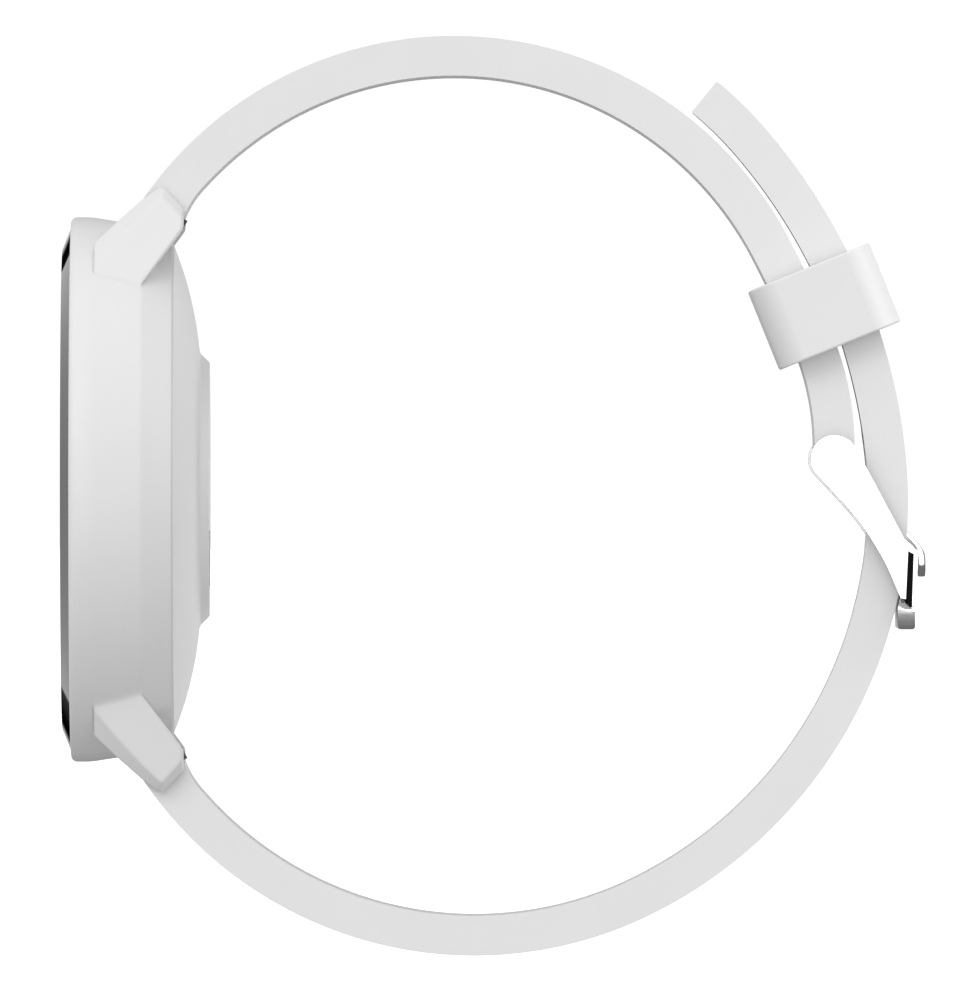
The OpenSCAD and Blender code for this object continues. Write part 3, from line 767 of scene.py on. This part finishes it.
def button(name, side):
    """A button cap with a domed, ringed top, on its grooved stem."""
    crown = [(0, CAP_TOP - 0.02, 0), (0.9, CAP_TOP - 0.05, 0.3), (1.05, CAP_TOP - 0.15, 0.1)]
    crown += [(1.2, CAP_TOP - 0.04, 0.1), (1.65, CAP_TOP - 0.08, 0.2), (2.0, CAP_TOP - 0.35, 0.18)]
    skirt = [(2.0, CAP_BASE, 0.06), (1.75, CAP_BASE, 0), (1.75, CAP_BASE + 0.8, 0)]
    stem = [(STEM_R, CAP_BASE + 0.8, 0), (STEM_R, 19.44, 0), (GROOVE_R, 19.44, 0)]
    stem += [(GROOVE_R, 18.96, 0), (STEM_R, 18.96, 0)]
    foot = [(STEM_R, 18.0, 0), (GROOVE_R, 18.0, 0), (GROOVE_R, 17.7, 0)]
    foot += [(STEM_R, 17.7, 0), (STEM_R, STEM_IN, 0.1), (0, STEM_IN, 0)]
    made = turned(name + "_cap", rounded(crown + skirt + stem + foot), 96)
    made.data.transform(about_button(side))
    return place(made, name, cover_polymer, "case_polymer", [name], 28)


# ---------------------------------------------------------------------------
# Strap


def station(start, arcs, s):
    """The point and heading at length s along arcs, (radius, sweep), or (0, length) where straight."""
    x, z, heading = start
    for radius, sweep in arcs:
        whole = radius * math.radians(sweep) if radius else sweep
        run = min(s, whole)
        if run <= 0:
            break
        if radius:
            turn = run / radius
            x += radius * (math.sin(heading) - math.sin(heading - turn))
            z += radius * (math.cos(heading - turn) - math.cos(heading))
            heading -= turn
        else:
            x += run * math.cos(heading)
            z += run * math.sin(heading)
        s -= run
    return x + s * math.cos(heading), z + s * math.sin(heading), heading


def chain_length(arcs):
    """The whole length of a chain of arcs."""
    return sum(radius * math.radians(sweep) if radius else sweep for radius, sweep in arcs)


def bend(obj, start, arcs, step=0.8):
    """Lays a piece that was built straight along X onto its chain of arcs."""
    work = bmesh.new()
    work.from_mesh(obj.data)
    whole = chain_length(arcs)
    for k in range(1, int(whole / step)):
        everything = list(work.verts) + list(work.edges) + list(work.faces)
        bmesh.ops.bisect_plane(work, geom=everything, plane_co=(k * step, 0, 0), plane_no=(1, 0, 0))
    for vert in work.verts:
        x, z, heading = station(start, arcs, vert.co.x)
        out = vert.co.z
        vert.co = (x - out * math.sin(heading), vert.co.y, z + out * math.cos(heading))
    work.to_mesh(obj.data)
    work.free()


def strap_side(length, tail):
    """The side view of a straight strap half: a round root at 0, then a round eye or a square tail."""
    half = STRAP_T / 2
    outline = arc((0, -ROOT_SHIFT), ROOT_R, 90, 285, 40)
    last = Vector(outline[-1])
    knee = Vector((2.1, -half))
    reach = Vector((3.6, -half))
    for k in range(1, 7):
        t = k / 6
        point = last * (1 - t) ** 2 + knee * 2 * t * (1 - t) + reach * t * t
        outline.append(tuple(point))
    if tail:
        square = [(length, -half, 0.15), (length, half, 0.2)]
        ends = rounded([(0, -half, 0), *square, (0, half, 0)])[1:-1]
        return outline + [tuple(p) for p in ends]
    return outline + arc((length, 0), half, -90, 90, 24)


def root_cutters():
    """What the strap bar and its release knob take out of a strap root."""
    hole = pipe("hole", (0, 0), 0.95, -15, 15, 40)
    knob = plate("knob", [(-1, -4), (1, -4), (1, 0), (-1, 0)], KNOB_Y - 0.9, KNOB_Y + 2.4)
    return [hole, knob]


def upper_strap():
    """The buckle half of the strap, with an eye for the buckle's bar and a mouth for the tongue."""
    length = chain_length(UPPER_ARCS)
    made = plate("strap_upper", strap_side(length, False), -STRAP_HALF_W, STRAP_HALF_W)
    eye = pipe("eye", (length, 0), 0.8, -15, 15, 40)
    notch = rounded(
        [(length - 2.3, -1.5, 0.6), (length + 4, -1.5, 0), (length + 4, 1.5, 0), (length - 2.3, 1.5, 0.6)]
    )
    mouth = plate("mouth", notch, -4, 4)
    mouth.data.transform(Matrix.Rotation(math.radians(90), 4, "X"))
    cut(made, *root_cutters(), eye, mouth)
    ease(made, 0.28)
    bend(made, (BAR_X, BAR_Z, math.radians(UPPER_HEADING)), UPPER_ARCS)
    return place(made, "upper_strap", silicone, "silicone", ["strap_buckle_half"])


def lower_strap():
    """The hole half of the strap, with its row of slots."""
    length = chain_length(LOWER_ARCS)
    made = plate("strap_lower", strap_side(length, True), -STRAP_HALF_W, STRAP_HALF_W)
    cutters = root_cutters()
    for k in range(SLOT_COUNT):
        middle = SLOT_USED + (k - SLOTS_BEFORE) * SLOT_PITCH
        outline = rounded(
            [
                (middle - SLOT_HALF_LEN, -1.4, 1.39), (middle + SLOT_HALF_LEN, -1.4, 1.39),
                (middle + SLOT_HALF_LEN, 1.4, 1.39), (middle - SLOT_HALF_LEN, 1.4, 1.39),
            ],
            8,
        )
        slot_cut = plate("slot", outline, -4, 4)
        slot_cut.data.transform(Matrix.Rotation(math.radians(90), 4, "X"))
        cutters.append(slot_cut)
    cut(made, *cutters)
    ease(made, 0.28)
    lean_tail(made)
    bend(made, (BAR_X, BAR_Z, math.radians(LOWER_HEADING)), LOWER_ARCS)
    made.data.transform(Matrix.Scale(-1, 4, (0, 0, 1)))
    made.data.flip_normals()
    return place(made, "lower_strap", silicone, "silicone", ["strap_hole_half"])


def lean_tail(strap):
    """Leans the inner face of the tail, past the buckle, by a little over the strap's width."""
    tail_start = SLOT_USED + SLOT_PITCH
    for vert in strap.data.vertices:
        if vert.co.x > tail_start and vert.co.z < 0:
            vert.co.z += TAIL_LEAN * (vert.co.y + STRAP_HALF_W) / (2 * STRAP_HALF_W)


def keeper():
    """The keeper: a band of even wall around both layers of the strap."""
    wide = STRAP_HALF_W + 0.3
    thick = KEEPER_IN / 2

    def outline(half_a, half_b, corner_a, corner_b, steps=12):
        points = []
        for quarter, (side_a, side_b) in enumerate(((1, 1), (-1, 1), (-1, -1), (1, -1))):
            for k in range(steps + 1):
                angle = math.radians(90 * (quarter + k / steps))
                a = side_a * (half_a - corner_a) + corner_a * math.cos(angle)
                b = side_b * (half_b - corner_b) + corner_b * math.sin(angle)
                points.append((a, b))
        return points

    rings = []
    for end in (-KEEPER_LEN / 2, KEEPER_LEN / 2):
        outside = outline(thick + KEEPER_WALL, wide + KEEPER_SIDE, *KEEPER_CORNER)
        rings.append([(a, b, end) for a, b in outside])
        rings.append([(a, b, end) for a, b in outline(thick, wide, 0.6, 0.6)])
    n = len(rings[0])
    verts = [point for ring in rings for point in ring]
    faces = []
    for i in range(n):
        j = (i + 1) % n
        for first, second in ((0, 1), (1, 3), (3, 2), (2, 0)):
            faces.append((first * n + i, first * n + j, second * n + j, second * n + i))
    made = solid("keeper_loop", verts, faces)
    ease(made, 0.18, angle=50)
    turn = Matrix.Rotation(math.radians(-KEEPER_TILT), 4, "Y")
    made.data.transform(Matrix.Translation((KEEPER_AT[0], 0, KEEPER_AT[1])) @ turn)
    return place(made, "keeper", silicone, "silicone", ["strap_keeper"])


# ---------------------------------------------------------------------------
# Buckle


def buckle_frame():
    """Two flowing side arms with round ends, and the end bar that the tongue rests on."""
    radius = 1.93
    inner_edge = flowing(
        [
            (48.62, 1.27), (49.75, 0.06), (51.35, -1.68), (52.65, -3.35), (54.15, -5.85),
            (55.2, -8.2), (55.45, -8.75),
        ]
    )
    head = arc(BUCKLE_AT, radius, 26.4, 218, 40)
    shoulder = [(55.75, -3.98), (56.4, -4.5), (56.72, -4.95), (56.84, -5.4), (56.78, -6.6), (56.62, -9.7)]
    lip = [(56.32, -9.3), (56.46, -5.18), (56.04, -4.95), (55.86, -8.8)]
    outline = head + [tuple(p) for p in inner_edge[1:]] + list(reversed(shoulder + lip))
    near = plate("arm", outline, -ARM_OUT, -ARM_IN)
    ease(near, 0.19, angle=40)
    far = mirrored(near, (0, 1, 0))
    bar = rounded([(56.3, -4.95, 0.1), (56.75, -5.4, 0.2), (56.6, -9.8, 0.1), (56.2, -9.8, 0.1)])
    end = plate("end_bar", bar, -ARM_IN - 0.2, ARM_IN + 0.2)
    block = end_block()
    steel_parts = joined("buckle_frame_steel", near, far, end, block)
    return place(steel_parts, "buckle", polished, "polished_steel", ["buckle_frame"])


def end_block():
    """The thick foot of the end bar. Its ends slope away above and below a ridge."""
    ridge = -9.6
    outline = rounded(
        [
            (55.42, -8.56, 0.05), (56.58, -9.8, 0.1), (56.6, -11.22, 0.25),
            (55.2, -11.22, 0.25), (55.2, -9.5, 0.1),
        ]
    )
    made = plate("end_block", outline, -ARM_OUT + 0.05, ARM_OUT - 0.05)
    work = bmesh.new()
    work.from_mesh(made.data)
    for drop in (0, 0.4, 0.8, 1.2):
        everything = list(work.verts) + list(work.edges) + list(work.faces)
        bmesh.ops.bisect_plane(work, geom=everything, plane_co=(0, 0, ridge - drop), plane_no=(0, 0, 1))
    for vert in work.verts:
        drop = ridge - vert.co.z
        if drop > 0:
            inset = 0.185 * drop + 0.0156 * drop ** 2
        else:
            inset = -0.45 * drop
        vert.co.y -= math.copysign(inset, vert.co.y)
    work.to_mesh(made.data)
    work.free()
    ease(made, 0.1, angle=20)
    return made


def buckle_inlay():
    """Painted shade: a flat black strip at each side, between the arm's end and the lip of the frame, put
    where the buckle shows only dark reflection and shadow.
    """
    outline = [(56.03, -4.93), (56.48, -5.16), (56.34, -9.45), (56.2, -9.4), (55.85, -8.85)]
    near = plate("shade_strip_half", outline, -ARM_OUT + 0.05, -ARM_IN - 0.1)
    far = mirrored(near, (0, 1, 0))
    # Painted shade: these black strips stand in for dark reflection and shadow, not a real inlay.
    return place(joined("buckle_inlay", near, far), "buckle", painted_shade_black, "black_plastic", [])


def tongue():
    """The tongue: an eye around the bar, a straight shank, and a tip bent down over the end bar."""
    arcs = ((0, TONGUE_RUN), (2.0, 90 - TONGUE_DROP), (0, 1.3))
    length = chain_length(arcs)
    plan = rounded([(0.9, -1.1, 0), (length, -1.1, 1.05), (length, 1.1, 1.05), (0.9, 1.1, 0)])
    shank = plate("shank", plan, -0.35, 0.35)
    shank.data.transform(Matrix.Rotation(math.radians(90), 4, "X"))
    ease(shank, 0.15, angle=40)
    bend(shank, (*BUCKLE_AT, math.radians(-TONGUE_DROP)), arcs, 0.25)
    eye = pipe("eye", BUCKLE_AT, 1.4, -1.1, 1.1)
    cut(eye, pipe("hole", BUCKLE_AT, BUCKLE_BAR_R + 0.05, -3, 3, 40))
    ease(eye, 0.15, angle=40)
    return place(joined("tongue_steel", shank, eye), "tongue", polished, "polished_steel", ["buckle_tongue"])


# ---------------------------------------------------------------------------
# Studio

# How far below the watch the floor lies, in metres, so that the strap can swing clear of it.
SWING_ROOM = 0.06
KEY_POWER = 4.14
RIM_POWER = 0.014

# Each panel: its name, the direction it lies in, the angles at which it is full and gone, its
# strength. The first list lights matt surfaces, the second is what shiny ones reflect.
SOFT_PANELS = (
    ("room", (0, -1, 0), 150, 165, 0.42),
    ("front_wall", (0, -1, 0), 20, 60, 0.42),
    ("ceiling", (-0.2, -0.3, 1), 20, 75, 0.53),
    ("left_wall", (-1, 0, 0.1), 10, 45, 0.19),
)
MIRROR_PANELS = (
    ("room", (0, -1, 0), 150, 165, 0.16),
    ("left_panel", (-0.7, 0.7, 0.175), 27.6, 28.1, 0.92),
    ("front_glow", (0, -1, 0), 8, 25, 1.75),
    ("back_glow", (0, 1, 0), 5, 12, 0.7),
    ("right_back", (0.5, 0.85, 0), 15, 30, 1.26),
    ("ceiling", (-0.2, -0.3, 1), 20, 75, 0.22),
    ("right_wall", (1, 0.1, 0.25), 10, 45, 0.4),
)


def studio():
    """A pale floor, soft lights and the camera, square on to the side of the watch."""
    low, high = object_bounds()
    floor_z = low.z - SWING_ROOM
    floor = bpy.data.meshes.new("floor")
    reach = 60.0
    corners = [(-reach, -reach), (reach, -reach), (reach, reach), (-reach, reach)]
    floor.from_pydata([(x, y, floor_z) for x, y in corners], [], [(0, 1, 2, 3)])
    ground = bpy.data.objects.new("floor", floor)
    bpy.context.collection.objects.link(ground)
    made, nodes, links, main = shader("pale_floor")
    main.inputs["Base Color"].default_value = (0.9, 0.9, 0.9, 1)
    main.inputs["Roughness"].default_value = 0.9
    main.inputs["Emission Color"].default_value = (1, 1, 1, 1)
    main.inputs["Emission Strength"].default_value = 0.9
    floor.materials.append(made)
    ground.visible_diffuse = False
    ground.visible_glossy = False
    ground.visible_shadow = False
    ground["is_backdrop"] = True
    sky()
    centre = Vector((0.0215, 0, 0))
    lamp("key", centre, (-0.25, -0.8, 0.55), 1.5, 0.9, KEY_POWER)
    lamp("right_rim", Vector((0.051, 0, 0.016)), (0.93, -0.25, 0.37), 0.06, 0.05, RIM_POWER)
    camera()


def lamp(name, target, direction, distance, size, power):
    """A soft square lamp that looks at target from a direction."""
    light = bpy.data.lights.new(name, "AREA")
    light.shape = "DISK"
    light.size = size
    light.energy = power
    obj = bpy.data.objects.new(name, light)
    bpy.context.collection.objects.link(obj)
    away = Vector(direction).normalized()
    obj.location = target + away * distance
    obj.rotation_mode = "QUATERNION"
    obj.rotation_quaternion = away.to_track_quat("Z", "Y")
    obj.visible_camera = False
    return obj


def panels(nodes, links, where, listed):
    """The summed strength of a list of soft panels of light, as a socket."""
    total = None
    for name, direction, inner, outer, strength in listed:
        dot = nodes.new("ShaderNodeVectorMath")
        dot.operation = "DOT_PRODUCT"
        dot.label = name
        dot.inputs[1].default_value = Vector(direction).normalized()
        links.new(where, dot.inputs[0])
        glow = nodes.new("ShaderNodeMapRange")
        glow.interpolation_type = "SMOOTHSTEP"
        glow.inputs["From Min"].default_value = math.cos(math.radians(outer))
        glow.inputs["From Max"].default_value = math.cos(math.radians(inner))
        glow.inputs["To Max"].default_value = strength
        links.new(dot.outputs["Value"], glow.inputs["Value"])
        if total is None:
            total = glow.outputs["Result"]
            continue
        both = nodes.new("ShaderNodeMath")
        links.new(total, both.inputs[0])
        links.new(glow.outputs["Result"], both.inputs[1])
        total = both.outputs["Value"]
    return total


def sky():
    """White to the camera. To the watch, a dim grey room with a few soft panels of light."""
    world = bpy.data.worlds.new("studio")
    bpy.context.scene.world = world
    world.use_nodes = True
    nodes = world.node_tree.nodes
    links = world.node_tree.links
    where = nodes.new("ShaderNodeTexCoord").outputs["Generated"]
    path = nodes.new("ShaderNodeLightPath")
    room = nodes["Background"]
    room.inputs["Color"].default_value = (1, 1, 1, 1)
    mirror_room = nodes.new("ShaderNodeBackground")
    mirror_room.inputs["Color"].default_value = (1, 1, 1, 1)
    seen = nodes.new("ShaderNodeBackground")
    seen.inputs["Color"].default_value = (1, 1, 1, 1)
    seen.inputs["Strength"].default_value = 1.05
    links.new(panels(nodes, links, where, SOFT_PANELS), room.inputs["Strength"])
    links.new(panels(nodes, links, where, MIRROR_PANELS), mirror_room.inputs["Strength"])
    inner = nodes.new("ShaderNodeMixShader")
    links.new(path.outputs["Is Glossy Ray"], inner.inputs["Fac"])
    links.new(room.outputs["Background"], inner.inputs[1])
    links.new(mirror_room.outputs["Background"], inner.inputs[2])
    either = nodes.new("ShaderNodeMixShader")
    links.new(path.outputs["Is Camera Ray"], either.inputs["Fac"])
    links.new(inner.outputs["Shader"], either.inputs[1])
    links.new(seen.outputs["Background"], either.inputs[2])
    links.new(either.outputs["Shader"], nodes["World Output"].inputs["Surface"])


def camera():
    """Level, looking along +Y at the middle of the photograph's frame, with a long lens."""
    view_height = 78.76 * MM
    middle = Vector((21.49, 0, -0.12)) * MM
    lens = 1371
    data = bpy.data.cameras.new("camera")
    data.lens = lens
    data.sensor_width = 36
    obj = bpy.data.objects.new("camera", data)
    bpy.context.collection.objects.link(obj)
    distance = view_height * lens / data.sensor_width
    obj.location = middle + Vector((0, -distance - 0.008, 0))
    obj.rotation_euler = (math.radians(90), 0, 0)
    data.clip_start = 0.1
    data.clip_end = 200
    bpy.context.scene.camera = obj
    scene = bpy.context.scene
    scene.view_settings.view_transform = "Standard"
    scene.view_settings.look = "None"


finish_nodes()
case_body()
back_cover()
cover_lens()
screen()
button("upper_button", 1)
button("lower_button", -1)
upper_strap()
lower_strap()
keeper()
buckle_frame()
buckle_inlay()
tongue()
studio()
